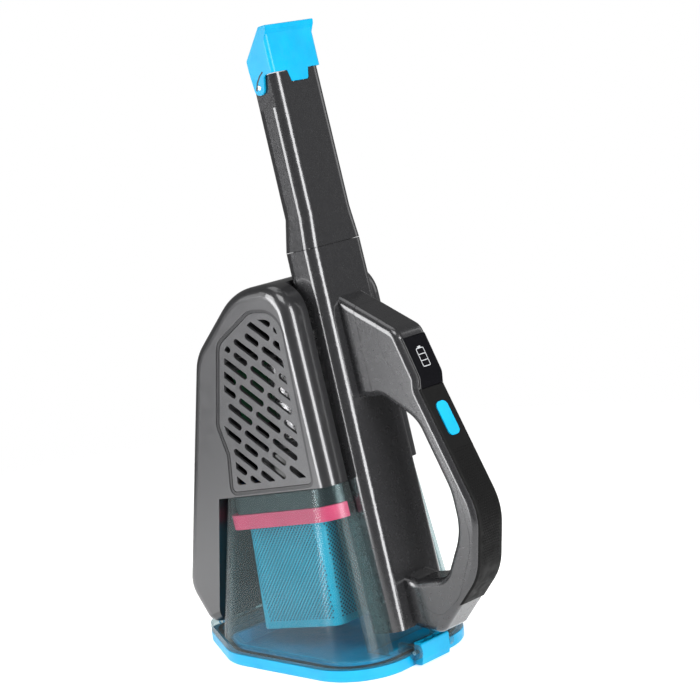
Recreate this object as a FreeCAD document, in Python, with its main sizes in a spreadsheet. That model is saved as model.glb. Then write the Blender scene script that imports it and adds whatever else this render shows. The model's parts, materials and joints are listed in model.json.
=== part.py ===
import FreeCAD, Part
import Sketcher
import math
import os
import re

from FreeCAD import Placement, Rotation, Vector

# A cordless handheld vacuum that stands on the door of its dust bowl, nozzle up.
# +Z is up, +X points to the handle, and the vacuum is the same on both sides of Y = 0.
# Most of it leans back from the door by lean_angle. Those pieces are drawn upright, with
# x across the suction tube and z along it, and are leaned when they are finished.

DIMENSIONS = {
    "lean_angle": 9.5,
    "wall": 2.2,
    "gap": 0.4,
    "soft_gap": 0.3,
    "overshoot": 5,
    "whole_width": 200,
    # door and the flange of the bowl above it
    "base_front": 84,
    "base_back": 98,
    "base_side": 66.5,
    "base_taper_start": 40,
    "base_tail": 30,
    "base_front_round": 42,
    "base_side_round": 40,
    "base_tail_round": 25,
    "door_thickness": 8.6,
    "door_edge_round": 2.5,
    "door_lip_inset": 10,
    "door_lip_rise": 3,
    "door_lip_width": 3,
    "door_floor": 2.6,
    "seal_inset": 5,
    "flange_bottom": 9.2,
    "flange_thickness": 5,
    "seal_width": 3,
    # door hinge
    "hinge_x": 97,
    "hinge_height": 8.9,
    "knuckle_radius": 3.2,
    "knuckle_length": 11,
    "hinge_pin_radius": 1.5,
    "hinge_pin_length": 34,
    "hinge_cut_x": 93,
    "hinge_cut_side": 19,
    "hinge_arm_root": 3,
    "knuckle_gap": 0.4,
    "pin_clearance": 0.06,
    # door latch
    "latch_width": 29,
    "latch_side_gap": 0.3,
    "latch_cell_wall": 2,
    "latch_cell_count": 3,
    "latch_back": 85,
    "latch_front": 91.5,
    "latch_foot": 1.5,
    "latch_top": 17,
    "latch_pivot_x": 87.6,
    "latch_pivot_height": 11,
    "latch_pin_radius": 1.4,
    "latch_pin_length": 37,
    "ear_thickness": 3.6,
    "ear_radius": 5,
    # dust bowl
    "bowl_top": 120,
    "bowl_front": 76,
    "bowl_back": 31,
    "bowl_side": 48,
    "bowl_foot_front": 80,
    "bowl_foot_back": 67,
    "bowl_foot_side": 62,
    "bowl_front_round": 17,
    "bowl_back_round": 14,
    "bowl_foot_front_round": 32,
    "bowl_foot_back_round": 30,
    "flap_thickness": 1.2,
    "flap_overlap": 2,
    # filter
    "ring_gap": 0.6,
    "ring_foot": 97,
    "ring_height": 10,
    "ring_width": 3,
    "frame_gap": 0.8,
    "frame_foot": 107.3,
    "frame_height": 12,
    "frame_width": 8,
    "basket_foot": 21,
    "basket_top": 107,
    "screen_wall": 1.6,
    "pleats_inset": 7,
    "pleats_foot": 32,
    "pleats_top": 106,
    # suction tube
    "tube_front": 90,
    "tube_back": 61,
    "tube_foot": 14,
    "tube_top": 276,
    "tube_foot_side": 29,
    "tube_top_side": 26,
    "tube_edge_round": 8,
    "tube_room_round": 5.8,
    "inlet_bottom": 24,
    "inlet_top": 58,
    "inlet_half_width": 16,
    "collar_front": 102,
    "tenon_inset": 2.5,
    "tenon_length": 0.25,
    # nozzle
    "nozzle_seam": 276.4,
    "nozzle_tip": 394,
    "nozzle_back": 65,
    "nozzle_side": 23.2,
    "nozzle_flare_top": 298,
    "nozzle_recess_side": 21.2,
    "nozzle_recess_foot": 372,
    "nozzle_recess_depth": 19.5,
    "nozzle_flare_extra": 0.4,
    "sleeve_foot": 172,
    "sleeve_side": 20.8,
    "sleeve_edge_round": 5,
    "sleeve_inset": 3.2,
    "sleeve_wall": 1.6,
    "brush_pivot_x": 74,
    "brush_pivot_height": 387,
    "brush_pin_radius": 1.5,
    "brush_pin_length": 4,
    "brush_pin_side": 21.3,
    "bristle_side": 20,
    "bristle_foot": 411,
    "bristle_tip": 422,
    "brush_wall": 2,
    "brush_edge_round": 3,
    "brush_overhang": 0.2,
    "tongue_side": 10.6,
    "tongue_foot_side": 8,
    "tongue_foot": 386.6,
    "tongue_gap": 0.4,
    "brush_top": 425.5,
    # motor housing
    "housing_side": 48,
    "housing_wall": 2.4,
    "housing_edge_round": 8.8,
    "housing_room_round": 6.4,
    "housing_split_gap": 0.05,
    "grille_thickness": 2.2,
    "grille_recess": 0.8,
    "grille_rim": 4.5,
    "grille_border": 2.5,
    "grille_border_depth": 0.5,
    "slot_width": 4.5,
    "long_slot": 24,
    "short_slot": 13.5,
    "slot_gap": 3.4,
    "slot_row_pitch": 9.2,
    "slot_row_shift": 20,
    "slot_angle": -39,
    "slot_start_x": 23.1,
    "slot_start_height": 188.4,
    "slot_rows_each_way": 8,
    "slot_pairs_each_way": 3,
    "slot_least_part": 3.5,
    # motor, fan and electrics
    "motor_x": 20,
    "motor_radius": 18,
    "motor_foot": 152,
    "motor_length": 52,
    "motor_neck_height": 4,
    "mount_rim": 8,
    "mount_thickness": 4,
    "mount_drop": 3.6,
    "shaft_radius": 1.6,
    "shaft_length": 70,
    "fan_radius": 33,
    "fan_foot": 128,
    "fan_height": 12,
    "fan_hub_radius": 7,
    "fan_disc_height": 2,
    "fan_blades": 9,
    "fan_gap": 2,
    "shroud_wall": 2,
    "shroud_outlet_side": 12,
    "shroud_radius": 39,
    "shroud_foot": 123,
    "shroud_height": 22,
    "cell_radius": 9.2,
    "cell_length": 65,
    "cell_pitch": 19,
    "cell_x": -58,
    "cell_height": 90,
    "cell_tilt": 19.5,
    "cell_count": 3,
    "cell_cap_height": 1,
    "tray_floor": 1.2,
    "tray_end": 2,
    "tray_margin": 4,
    "tray_clearance": 0.15,
    "board_x": -22,
    "board_thickness": 1.6,
    "board_side": 18,
    "board_foot": 162,
    "board_top": 205,
    "socket_radius": 4.2,
    "socket_length": 8,
    "socket_tip_radius": 2.2,
    "socket_tip_length": 0.6,
    "socket_height": 148,
    "socket_recess": 0.4,
    "socket_clearance": 0.2,
    "screw_radius": 1.5,
    "screw_head_radius": 3,
    "boss_radius": 4,
    "boss_gap": 0.1,
    "bore_clearance": 0.1,
    "bore_length": 80,
    "bore_middle": 22,
    "head_room": 0.2,
    "head_room_length": 20,
    "head_room_middle": 51.8,
    "screw_middle": 13,
    "screw_length": 58,
    "screw_head_height": 2.6,
    "screw_head_side": 43.2,
    # handle
    "handle_side": 14.5,
    "handle_edge_round": 5,
    "handle_under_grip": 0.6,
    "handle_root": 2,
    "shell_seam": 0.15,
    "grip_edge_round": 1.1,
    "grip_foot": 26.3,
    "grip_top": 171,
    "gauge_foot": 171.4,
    "gauge_top": 205.6,
    "grip_side": 12,
    "grip_thickness": 2.4,
    "grip_reach": 16,
    "grip_room_foot": 26,
    "grip_room_top": 206,
    "grip_room_extra": 0.2,
    "button_length": 24,
    "button_width": 11,
    "button_depth": 5,
    "button_height": 149,
    "button_travel": 1.5,
    "button_round": 4,
    "button_proud": 0.6,
    "button_room_gap": 0.4,
    "button_room_depth": 8,
    "button_room_top": 4,
    "switch_inset": 3.2,
    "switch_foot": 7.9,
}

document = FreeCAD.newDocument("HandheldVacuum")
sheet = document.addObject("Spreadsheet::Sheet", "Dimensions")
for row, (alias, value) in enumerate(DIMENSIONS.items(), start=1):
    sheet.set(f"A{row}", alias)
    sheet.set(f"B{row}", str(value))
    sheet.setAlias(f"B{row}", alias)
document.recompute()

ACROSS = Vector(0, 1, 0)
UP = Vector(0, 0, 1)
nodes = {}


def size(alias):
    """The value of one driving dimension."""
    return float(sheet.get(alias))


def bind(thing, **expressions):
    """Ties properties of an object to cells of the sheet."""
    for name, expression in expressions.items():
        words = re.sub(r"[a-z]+(_[a-z]+)*", lambda word: "Dimensions." + word.group(), expression)
        thing.setExpression(name.replace("__", "."), words)


def keep(name, thing, leaned=True):
    """Names a finished sub-part, and leans it with the suction tube."""
    thing.Label = name
    if leaned:
        document.recompute()
        place_now = thing.Placement
        for path, _ in list(thing.ExpressionEngine):
            if path.startswith("Placement") or path.startswith(".Placement"):
                thing.setExpression(path.lstrip("."), None)
        thing.Placement = place_now
        thing.Placement = Placement(Vector(), Rotation(ACROSS, -size("lean_angle"))) * thing.Placement
    nodes[name] = thing
    return thing


# ---- outlines -------------------------------------------------------------------------


def grown(corners, distance):
    """The same closed outline moved out by a distance, or in when it is negative."""
    area = sum(a[0] * b[1] - b[0] * a[1] for a, b in zip(corners, corners[1:] + corners[:1]))
    out = distance if area > 0 else -distance
    lines = []
    for a, b in zip(corners, corners[1:] + corners[:1]):
        along = Vector(b[0] - a[0], b[1] - a[1], 0).normalize()
        side = Vector(along.y, -along.x, 0) * out
        lines.append((Vector(a[0], a[1], 0) + side, along))
    moved = []
    for number, corner in enumerate(corners):
        (start, before), (other, after) = lines[number - 1], lines[number]
        turn = before.x * after.y - before.y * after.x
        run = ((other.x - start.x) * after.y - (other.y - start.y) * after.x) / turn
        place = start + before * run
        radius = corner[2] + (out if turn > 0 else -out) if corner[2] else 0
        moved.append((place.x, place.y, max(radius, 0)))
    return moved


def edges_of(corners):
    """Straight edges and corner arcs of a closed outline of (x, y, radius) corners."""
    ends = []
    for number, (x, y, radius) in enumerate(corners):
        corner = Vector(x, y, 0)
        before = corners[number - 1]
        after = corners[(number + 1) % len(corners)]
        back = (Vector(before[0], before[1], 0) - corner).normalize()
        ahead = (Vector(after[0], after[1], 0) - corner).normalize()
        half = back.getAngle(ahead) / 2
        run = radius / math.tan(half) if radius else 0
        middle = (back + ahead).normalize() if radius else corner
        reach = radius / math.sin(half) - radius if radius else 0
        ends.append((corner + back * run, corner + middle * reach, corner + ahead * run, radius))
    edges = []
    for number, (start, middle, end, radius) in enumerate(ends):
        if radius:
            edges.append(Part.Arc(start, middle, end))
        following = ends[(number + 1) % len(ends)][0]
        if end.distanceToPoint(following) > 1e-6:
            edges.append(Part.LineSegment(end, following))
    return edges


def mirrored(corners):
    """An outline given for y >= 0, completed with its mirror image in y."""
    return corners + [(x, -y, radius) for x, y, radius in reversed(corners)]


def sketch_of(name, corners, placement):
    """A free-standing sketch of one closed outline."""
    sketch = document.addObject("Sketcher::SketchObject", name)
    sketch.addGeometry(edges_of(corners), False)
    sketch.Placement = placement
    return sketch


def side_view(distance=0.0):
    """Placement of a sketch seen from the side: x stays x, and y becomes z."""
    return Placement(Vector(0, distance, 0), Rotation(Vector(1, 0, 0), 90))


# ---- solids ---------------------------------------------------------------------------


def slab(name, corners, width):
    """A side outline made into a solid, as far to one side of Y = 0 as to the other."""
    solid = document.addObject("Part::Extrusion", name)
    solid.Base = sketch_of(name + "Outline", corners, side_view())
    solid.DirMode = "Custom"
    solid.Dir = ACROSS
    solid.Solid = True
    solid.Symmetric = True
    bind(solid, LengthFwd=width)
    return solid


def plate(name, corners, bottom, thickness):
    """A plan outline made into a solid from one height upwards."""
    solid = document.addObject("Part::Extrusion", name)
    solid.Base = sketch_of(name + "Outline", corners, Placement(Vector(0, 0, bottom), Rotation()))
    solid.DirMode = "Custom"
    solid.Dir = UP
    solid.Solid = True
    bind(solid, LengthFwd=thickness)
    return solid


def loft(name, sections):
    """A straight-sided solid through (corners, placement) sections."""
    solid = document.addObject("Part::Loft", name)
    solid.Sections = [
        sketch_of(f"{name}Section{number}", corners, placement)
        for number, (corners, placement) in enumerate(sections)
    ]
    solid.Solid = True
    solid.Ruled = True
    return solid


def block(name, x_range, y_range, z_range):
    """A box between two (low, high) pairs of expressions for each direction."""
    solid = document.addObject("Part::Box", name)
    bind(
        solid,
        Length=f"({x_range[1]}) - ({x_range[0]})",
        Width=f"({y_range[1]}) - ({y_range[0]})",
        Height=f"({z_range[1]}) - ({z_range[0]})",
        Placement__Base__x=x_range[0],
        Placement__Base__y=y_range[0],
        Placement__Base__z=z_range[0],
    )
    return solid


def cylinder(name, radius, length, middle, axis=ACROSS):
    """A cylinder about its middle point, with its axis along Y unless told otherwise."""
    solid = document.addObject("Part::Cylinder", name)
    bind(solid, Radius=radius, Height=length)
    document.recompute()
    turn = Rotation(UP, axis)
    start = Vector(*middle) - turn.multVec(UP) * (solid.Height.Value / 2)
    solid.Placement = Placement(start, turn)
    return solid


def cut(name, base, *tools):
    """The base with each tool taken away in turn."""
    for number, tool in enumerate(tools):
        result = document.addObject("Part::Cut", f"{name}Cut{number}")
        result.Base = base
        result.Tool = tool
        base = result
    return base


def common(name, first, second):
    """What two shapes have in common."""
    result = document.addObject("Part::Common", name + "Common")
    result.Base = first
    result.Tool = second
    return result


def fuse(name, *shapes):
    """Several shapes joined into one, without seams between level faces."""
    result = document.addObject("Part::MultiFuse", name + "Fuse")
    result.Shapes = list(shapes)
    result.Refine = True
    return result


def rounded(name, base, radius, wanted):
    """The base with a fillet on each edge that wanted(edge) accepts."""
    document.recompute()
    result = document.addObject("Part::Fillet", name + "Fillet")
    result.Base = base
    result.Edges = [
        (number, size(radius), size(radius))
        for number, edge in enumerate(base.Shape.Edges, start=1)
        if wanted(edge)
    ]
    return result


def at_height(height):
    """Accepts edges that lie level at one height."""
    return lambda edge: abs(edge.BoundBox.ZMin - height) < 1e-4 and edge.BoundBox.ZLength < 1e-4


def at_side(distance):
    """Accepts edges that lie in a side plane, on either side."""
    return lambda edge: edge.BoundBox.YLength < 1e-4 and abs(abs(edge.BoundBox.YMin) - distance) < 1e-4


def around_housing(distance):
    """Accepts side edges of the housing, apart from the two that face the bowl."""
    lateral = at_side(distance)

    def wanted(edge):
        middle = edge.valueAt((edge.FirstParameter + edge.LastParameter) / 2)
        faces_bowl = middle.z < size("bowl_top") + 5 and middle.x > -62
        return lateral(edge) and not faces_bowl

    return wanted


def upright(edge):
    """Accepts straight edges that run along the tube."""
    return edge.BoundBox.ZLength > 20 and edge.BoundBox.XLength < 5 and edge.BoundBox.YLength < 5


# ---- PartDesign helpers ---------------------------------------------------------------


def new_body(name):
    """An empty body to draw sketches and pads in."""
    return document.addObject("PartDesign::Body", name + "Body")


def body_sketch(body, name, role, offset="0"):
    """A sketch on one of the body's own origin planes, moved off it by an expression."""
    sketch = body.newObject("Sketcher::SketchObject", name)
    plane = next(item for item in body.Origin.OriginFeatures if item.Role == role)
    sketch.AttachmentSupport = [(plane, "")]
    sketch.MapMode = "FlatFace"
    if offset != "0":
        bind(sketch, AttachmentOffset__Base__z=offset)
    return sketch


def draw_circle(sketch, radius):
    """A circle about the sketch's origin, with its radius tied to the sheet."""
    circle = sketch.addGeometry(Part.Circle(Vector(), UP, 1), False)
    sketch.addConstraint(Sketcher.Constraint("Coincident", -1, 1, circle, 3))
    index = sketch.addConstraint(Sketcher.Constraint("Radius", circle, 1.0))
    sketch.renameConstraint(index, "radius")
    bind(sketch, Constraints__radius=radius)


def pad(body, sketch, length, name):
    """The sketch raised into a solid."""
    feature = body.newObject("PartDesign::Pad", name)
    feature.Profile = sketch
    bind(feature, Length=length)
    return feature


def turned_body(name, steps):
    """A round piece about +Z: a pad for each (radius, start, length), end on end."""
    body = new_body(name)
    for number, (radius, start, length) in enumerate(steps):
        sketch = body_sketch(body, f"{name}Circle{number}", "XY_Plane", start)
        draw_circle(sketch, radius)
        pad(body, sketch, length, f"{name}Pad{number}")
    return body


def place(thing, x, y, z, axis=UP):
    """Moves a round piece to its foot point and turns it onto its axis."""
    thing.Placement = Placement(Vector(x, y, z), Rotation(UP, axis))
    return thing


# ---- outlines shared by several pieces ------------------------------------------------


def base_outline():
    """Plan of the door and flange: a broad front, and sides that taper to the back."""
    return mirrored([
        (size("base_front"), size("base_side"), size("base_front_round")),
        (-size("base_taper_start"), size("base_side"), size("base_side_round")),
        (-size("base_back"), size("base_tail"), size("base_tail_round")),
    ])


def bowl_outline(front, back, side):
    """Plan of the bowl at one height."""
    return mirrored([(front, side, size("bowl_front_round")), (-back, side, size("bowl_back_round"))])


def bowl_foot_outline():
    """Plan of the bowl where it meets the flange."""
    return mirrored([
        (size("bowl_foot_front"), size("bowl_foot_side"), size("bowl_foot_front_round")),
        (-size("bowl_foot_back"), size("bowl_foot_side"), size("bowl_foot_back_round")),
    ])


def bowl_sections(inset):
    """Top and foot of the bowl, each drawn in by the inset."""
    lean = Rotation(ACROSS, size("lean_angle"))
    foot_height = size("flange_bottom") + size("flange_thickness") / 2
    foot_place = Placement(Vector(), lean) * Placement(Vector(0, 0, foot_height), Rotation())
    top = bowl_outline(size("bowl_front"), size("bowl_back"), size("bowl_side"))
    foot = bowl_foot_outline()
    top_place = Placement(Vector(0, 0, size("bowl_top")), Rotation())
    return [(grown(foot, -inset), foot_place), (grown(top, -inset), top_place)]


def housing_outline():
    """Side view of the motor housing, with the battery spine reaching down at the back."""
    foot = size("bowl_top") + size("gap")
    return [
        (size("bowl_front"), foot, 0),
        (size("bowl_front"), 260, 24),
        (24, 260, 50),
        (-25, 222, 35),
        (-87, 60, 22),
        (-73, 30, 9),
        (-61.4, 33, 0),
        (-size("bowl_back") - 1.0, foot, 0),
    ]


def grille_outline():
    """Side view of one vent grille."""
    return [
        (60, 124, 3),
        (66, 240, 16),
        (40, 243.5, 16),
        (4, 226, 12),
        (-15, 171, 8),
        (-11, 150, 10),
        (-16.5, 124, 3),
    ]


def handle_outline():
    """Side view of the handle's outer edge, closed inside the front wall of the tube."""
    front = size("tube_front") - size("handle_root")
    return [
        (front, 13, 0),
        (112, 6.5, 10),
        (155, 44, 40),
        (168, 86, 42),
        (142, 171, 6),
        (143.5, 179, 8),
        (134.5, 212, 12),
        (front, 243, 0),
    ]


def inner_shell_outline():
    """Side view of the seam between the handle's inner and outer shells."""
    collar = size("collar_front") + size("soft_gap")
    return [
        (collar, 28, 6),
        (116, 19, 12),
        (136, 32, 24),
        (157.5, 68, 40),
        (154.5, 112, 60),
        (127, 178, 22),
        (117.5, 203, 16),
        (119.4, 222.4, 2),
        (collar, 234, 0),
    ]


def finger_gap_outline():
    """Side view of the opening that the fingers go through."""
    back = size("tube_front") - 10
    return [
        (back, 52, 0),
        (100, 45, 10),
        (127, 45, 14),
        (147.5, 76, 40),
        (147.5, 103, 40),
        (133, 152, 24),
        (108, 171, 12),
        (back, 172, 0),
    ]


# ---- door -----------------------------------------------------------------------------


def hinge_barrels(name, starts):
    """Hinge knuckles about the pin, each one knuckle long, starting at each of these."""
    return [
        cylinder(
            f"{name}Knuckle{number}", "knuckle_radius", "knuckle_length",
            (-size("hinge_x"), start + size("knuckle_length") / 2, size("hinge_height")),
        )
        for number, start in enumerate(starts)
    ]


def hinge_cut(name):
    """The room for the hinge at the back of the door and the flange."""
    side = ("-hinge_cut_side", "hinge_cut_side")
    return block(name, ("-base_back - overshoot", "-hinge_cut_x"), side, ("-overshoot", "20"))


def pin_hole(name, clearance):
    """The hole along the door hinge, wider than its pin by the clearance."""
    return cylinder(
        name, f"hinge_pin_radius + {clearance}", "hinge_pin_length + 20",
        (-size("hinge_x"), 0, size("hinge_height")),
    )


def bowl_mouth_reach(name, inset):
    """The space above the door's floor that lies inside the mouth of the bowl."""
    return block(
        name, (f"-bowl_foot_back + 6 + {inset}", f"bowl_foot_front - 7 - {inset}"),
        (f"-bowl_foot_side + 7 + {inset}", f"bowl_foot_side - 7 - {inset}"), ("door_floor", "20"),
    )


def make_door():
    panel = plate("DoorPanel", base_outline(), 0, "door_thickness")
    panel = rounded("DoorPanel", panel, "door_edge_round", at_height(0))
    lip = plate(
        "DoorLip", grown(base_outline(), -size("door_lip_inset")),
        size("door_thickness") - 1, "door_lip_rise + 1",
    )
    lip = common("DoorLip", lip, bowl_mouth_reach("DoorLipReach", 0))
    pocket_inset = size("door_lip_inset") + size("door_lip_width")
    pocket = common(
        "DoorPocket", plate("DoorPocketPlate", grown(base_outline(), -pocket_inset), 0, "20"),
        bowl_mouth_reach("DoorPocketReach", "door_lip_width"),
    )
    tail = hinge_cut("DoorTail")
    ear_room = block("DoorEarRoom", ("base_front - 2", "base_front + 1"), ("-19", "19"), ("-1", "20"))
    panel = cut("Door", fuse("DoorBase", panel, lip), tail, pocket, ear_room)
    length = size("knuckle_length")
    starts = (-length * 1.5 - size("knuckle_gap"), length / 2 + size("knuckle_gap"))
    arms = [
        block(
            f"DoorArm{number}", ("-hinge_x", "-hinge_cut_x + hinge_arm_root"),
            (str(start), f"{start} + knuckle_length"), ("hinge_height - knuckle_radius", "door_thickness"),
        )
        for number, start in enumerate(starts)
    ]
    whole = fuse("DoorWhole", panel, *arms, *hinge_barrels("Door", starts))
    keep("door", cut("DoorBored", whole, pin_hole("DoorPinHole", "pin_clearance")), leaned=False)


def make_door_seal():
    outer = grown(base_outline(), -size("seal_inset"))
    inner = grown(base_outline(), -size("seal_inset") - size("seal_width"))
    height = size("door_thickness")
    ring = plate("SealOuter", outer, height, "flange_bottom - door_thickness")
    hole = plate("SealInner", inner, height - 1, "flange_bottom - door_thickness + 2")
    keep("door_seal", cut("Seal", ring, hole), leaned=False)


def make_hinge_pin():
    pin = turned_body("HingePin", [("hinge_pin_radius", "0", "hinge_pin_length")])
    place(pin, -size("hinge_x"), -size("hinge_pin_length") / 2, size("hinge_height"), ACROSS)
    keep("door_hinge_pin", pin, leaned=False)


# ---- latch ----------------------------------------------------------------------------


def make_latch():
    block_outline = [
        (size("latch_back"), size("latch_foot"), 0),
        (size("latch_front") - 1, size("latch_foot"), 1.5),
        (size("latch_front"), 6, 3),
        (size("latch_front"), size("latch_top"), 1.2),
        (size("latch_back"), size("latch_top"), 0),
    ]
    rocker = slab("LatchBlock", block_outline, "latch_width")
    cells = []
    wall, count = size("latch_cell_wall"), int(size("latch_cell_count"))
    cell_width = (size("latch_width") - (count + 1) * wall) / count
    for number in range(count):
        start = -size("latch_width") / 2 + wall + number * (cell_width + wall)
        cells.append(block(
            f"LatchCell{number}", ("latch_back + 1.2", "latch_front - 1.6"),
            (str(start), str(start + cell_width)), ("latch_pivot_height + 2.4", "latch_top + 1"),
        ))
    hole = cylinder(
        "LatchHole", "latch_pin_radius + pin_clearance", "latch_width + 10",
        (size("latch_pivot_x"), 0, size("latch_pivot_height")),
    )
    keep("door_latch", cut("Latch", rocker, *cells, hole), leaned=False)


def make_latch_pin():
    pin = turned_body("LatchPin", [("latch_pin_radius", "0", "latch_pin_length")])
    place(pin, size("latch_pivot_x"), -size("latch_pin_length") / 2, size("latch_pivot_height"), ACROSS)
    keep("latch_pin", pin, leaned=False)


def ears():
    """The two ears of the bowl that carry the latch pin, with the pin's holes."""
    solids = []
    inner = size("latch_width") / 2 + size("latch_side_gap")
    for side in (-1, 1):
        middle = side * (inner + size("ear_thickness") / 2)
        name = "EarRight" if side > 0 else "EarLeft"
        solids.append(cylinder(
            name, "ear_radius", "ear_thickness",
            (size("latch_pivot_x"), middle, size("latch_pivot_height")),
        ))
        low = middle - size("ear_thickness") / 2
        solids.append(block(
            name + "Root", ("base_front - 10", "latch_pivot_x"),
            (str(low), f"{low} + ear_thickness"), ("flange_bottom", "latch_pivot_height + ear_radius"),
        ))
    return solids


# ---- dust bowl ------------------------------------------------------------------------


def tube_notch(name, extra):
    """The space that the suction tube takes out of the pieces behind it."""
    return block(
        name, (f"tube_back - ({extra})", "tube_front + 60"),
        (f"-tube_foot_side - ({extra})", f"tube_foot_side + {extra}"), ("-20", "320"),
    )


def bowl_shell():
    """The clear wall of the bowl, stepped around the tube and open where the dust comes in."""
    room = cut(
        "BowlRoom", loft("BowlInner", bowl_sections(size("wall"))),
        tube_notch("BowlNotchWall", "gap + wall"),
    )
    window = block(
        "BowlInlet", ("tube_back - 10", "tube_back + 1"),
        ("-inlet_half_width", "inlet_half_width"), ("inlet_bottom", "inlet_top"),
    )
    outer = loft("BowlOuter", bowl_sections(0))
    return cut("BowlShell", outer, room, tube_notch("BowlNotch", "gap"), window)


def make_bowl():
    shell = bowl_shell()
    # The flange and the latch ears stand level with the door, so the shell is leaned first.
    shell.Placement = Placement(Vector(), Rotation(ACROSS, -size("lean_angle")))
    flange = plate("FlangePlate", base_outline(), size("flange_bottom"), "flange_thickness")
    mouth = plate("FlangeMouth", grown(bowl_foot_outline(), -size("wall")), 0, "30")
    flange = cut("Flange", flange, mouth, hinge_cut("FlangeTail"))
    length = size("knuckle_length")
    arm = block(
        "FlangeArm", ("-hinge_x", "-hinge_cut_x + hinge_arm_root"), (str(-length / 2), str(length / 2)),
        ("flange_bottom", "hinge_height + knuckle_radius"),
    )
    whole = fuse("BowlWhole", shell, flange, arm, *hinge_barrels("Flange", (-length / 2,)), *ears())
    pin_bore = cylinder(
        "LatchPinBore", "latch_pin_radius", "latch_pin_length + 20",
        (size("latch_pivot_x"), 0, size("latch_pivot_height")),
    )
    keep("dust_bowl", cut("Bowl", whole, pin_hole("BowlPinHole", 0), pin_bore), leaned=False)


def make_inlet_flap():
    flap = block(
        "Flap", ("tube_back - wall - 2 * gap - flap_thickness", "tube_back - wall - 2 * gap"),
        ("-inlet_half_width - flap_overlap", "inlet_half_width + flap_overlap"),
        ("inlet_bottom - flap_overlap", "inlet_top + flap_overlap + 1"),
    )
    keep("inlet_flap", flap)


# ---- filter ---------------------------------------------------------------------------


def filter_ring(name, room, notch, bottom, height, width):
    """A ring that follows the inside of the bowl and steps around the suction tube."""
    whole = plate(name + "Plate", room, bottom, height)
    outer = cut(name + "Outer", whole, tube_notch(name + "Step", notch))
    inner = cut(
        name + "Inner", plate(name + "Hole", grown(room, -width), bottom - 1, f"{height} + 2"),
        tube_notch(name + "InnerStep", f"{notch} + {width}"),
    )
    return cut(name, outer, inner)


def basket(name, inset, foot_height, top_height):
    """A tub that narrows downwards, drawn in by the inset."""
    top = mirrored([(48, 36, 8), (-24, 36, 8)])
    foot = mirrored([(38, 30, 8), (-40, 30, 8)])
    return loft(name, [
        (grown(foot, -inset), Placement(Vector(0, 0, foot_height), Rotation())),
        (grown(top, -inset), Placement(Vector(0, 0, top_height), Rotation())),
    ])


def make_filter():
    keep("filter_ring_seal", filter_ring(
        "RingSeal", bowl_outline(73.6, 32.6, 47), "gap + wall + ring_gap",
        size("ring_foot"), "ring_height", size("ring_width"),
    ))
    keep("filter_frame", filter_ring(
        "FilterFrame", bowl_outline(73, 28.2, 45.2), "gap + wall + frame_gap",
        size("frame_foot"), "frame_height", size("frame_width"),
    ))
    foot, top, wall = size("basket_foot"), size("basket_top"), size("screen_wall")
    room = basket("ScreenInner", wall, foot + wall, top + 2)
    keep("filter_screen", cut("Screen", basket("ScreenOuter", 0, foot, top), room))
    pleats = basket("Pleats", size("pleats_inset"), size("pleats_foot"), size("pleats_top"))
    keep("pleated_filter", pleats)


# ---- suction tube and collars ---------------------------------------------------------


def handle_bar(name):
    """The whole loop of the handle with rounded edges, before it is split into its shells."""
    loop = slab(name + "Loop", grown(handle_outline(), -size("handle_under_grip")), "2 * handle_side")
    bar = cut(name + "Bar", loop, slab(name + "Fingers", finger_gap_outline(), "whole_width"))
    beside = at_side(size("handle_side"))
    front = size("tube_front")
    return rounded(
        name + "Bar", bar, "handle_edge_round",
        lambda edge: beside(edge) and edge.BoundBox.XMax > front + 2,
    )


def collar_reach(name, front):
    """The space between the tube's front wall and one distance in front of it."""
    return block(name, ("tube_front - 1", front), ("-30", "30"), ("0", "300"))


def collars():
    """The two stubs that meet the handle, each with a tenon that closes the seam from inside."""
    stubs = common("Collars", handle_bar("Collar"), collar_reach("CollarReach", "collar_front"))
    inset = size("tenon_inset")
    core = cut(
        "TenonCore", slab("Tenon", grown(handle_outline(), -inset), "2 * (handle_side - tenon_inset)"),
        slab("TenonFingers", grown(finger_gap_outline(), inset), "whole_width"),
    )
    tenons = common("Tenons", core, collar_reach("TenonReach", "collar_front + tenon_length"))
    return fuse("Collars", stubs, tenons)


def tube_section(side, height, inset=0.0, back="tube_back"):
    """Plan of the tube at one height, drawn in by the inset, and where it belongs."""
    corners = [
        (size("tube_front"), side, 0),
        (size(back), side, 0),
    ]
    return grown(mirrored(corners), -inset), Placement(Vector(0, 0, height), Rotation())


def make_tube():
    foot, top = size("tube_foot"), size("tube_top")
    foot_side, top_side = size("tube_foot_side"), size("tube_top_side")
    outer = loft("TubeOuter", [tube_section(foot_side, foot), tube_section(top_side, top)])
    outer = rounded("TubeOuter", outer, "tube_edge_round", upright)
    wall = size("wall")
    room = loft("TubeRoom", [
        tube_section(foot_side, foot + wall, wall), tube_section(top_side, top + 1, wall),
    ])
    room = rounded("TubeRoom", room, "tube_room_round", upright)
    window = block(
        "TubeInlet", ("tube_back - 1", "tube_back + 5"),
        ("-inlet_half_width", "inlet_half_width"), ("inlet_bottom", "inlet_top"),
    )
    whole = fuse("TubeWhole", cut("TubeHollow", outer, room, window), collars())
    keep("suction_tube", whole)


# ---- nozzle and brush -----------------------------------------------------------------


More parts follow.
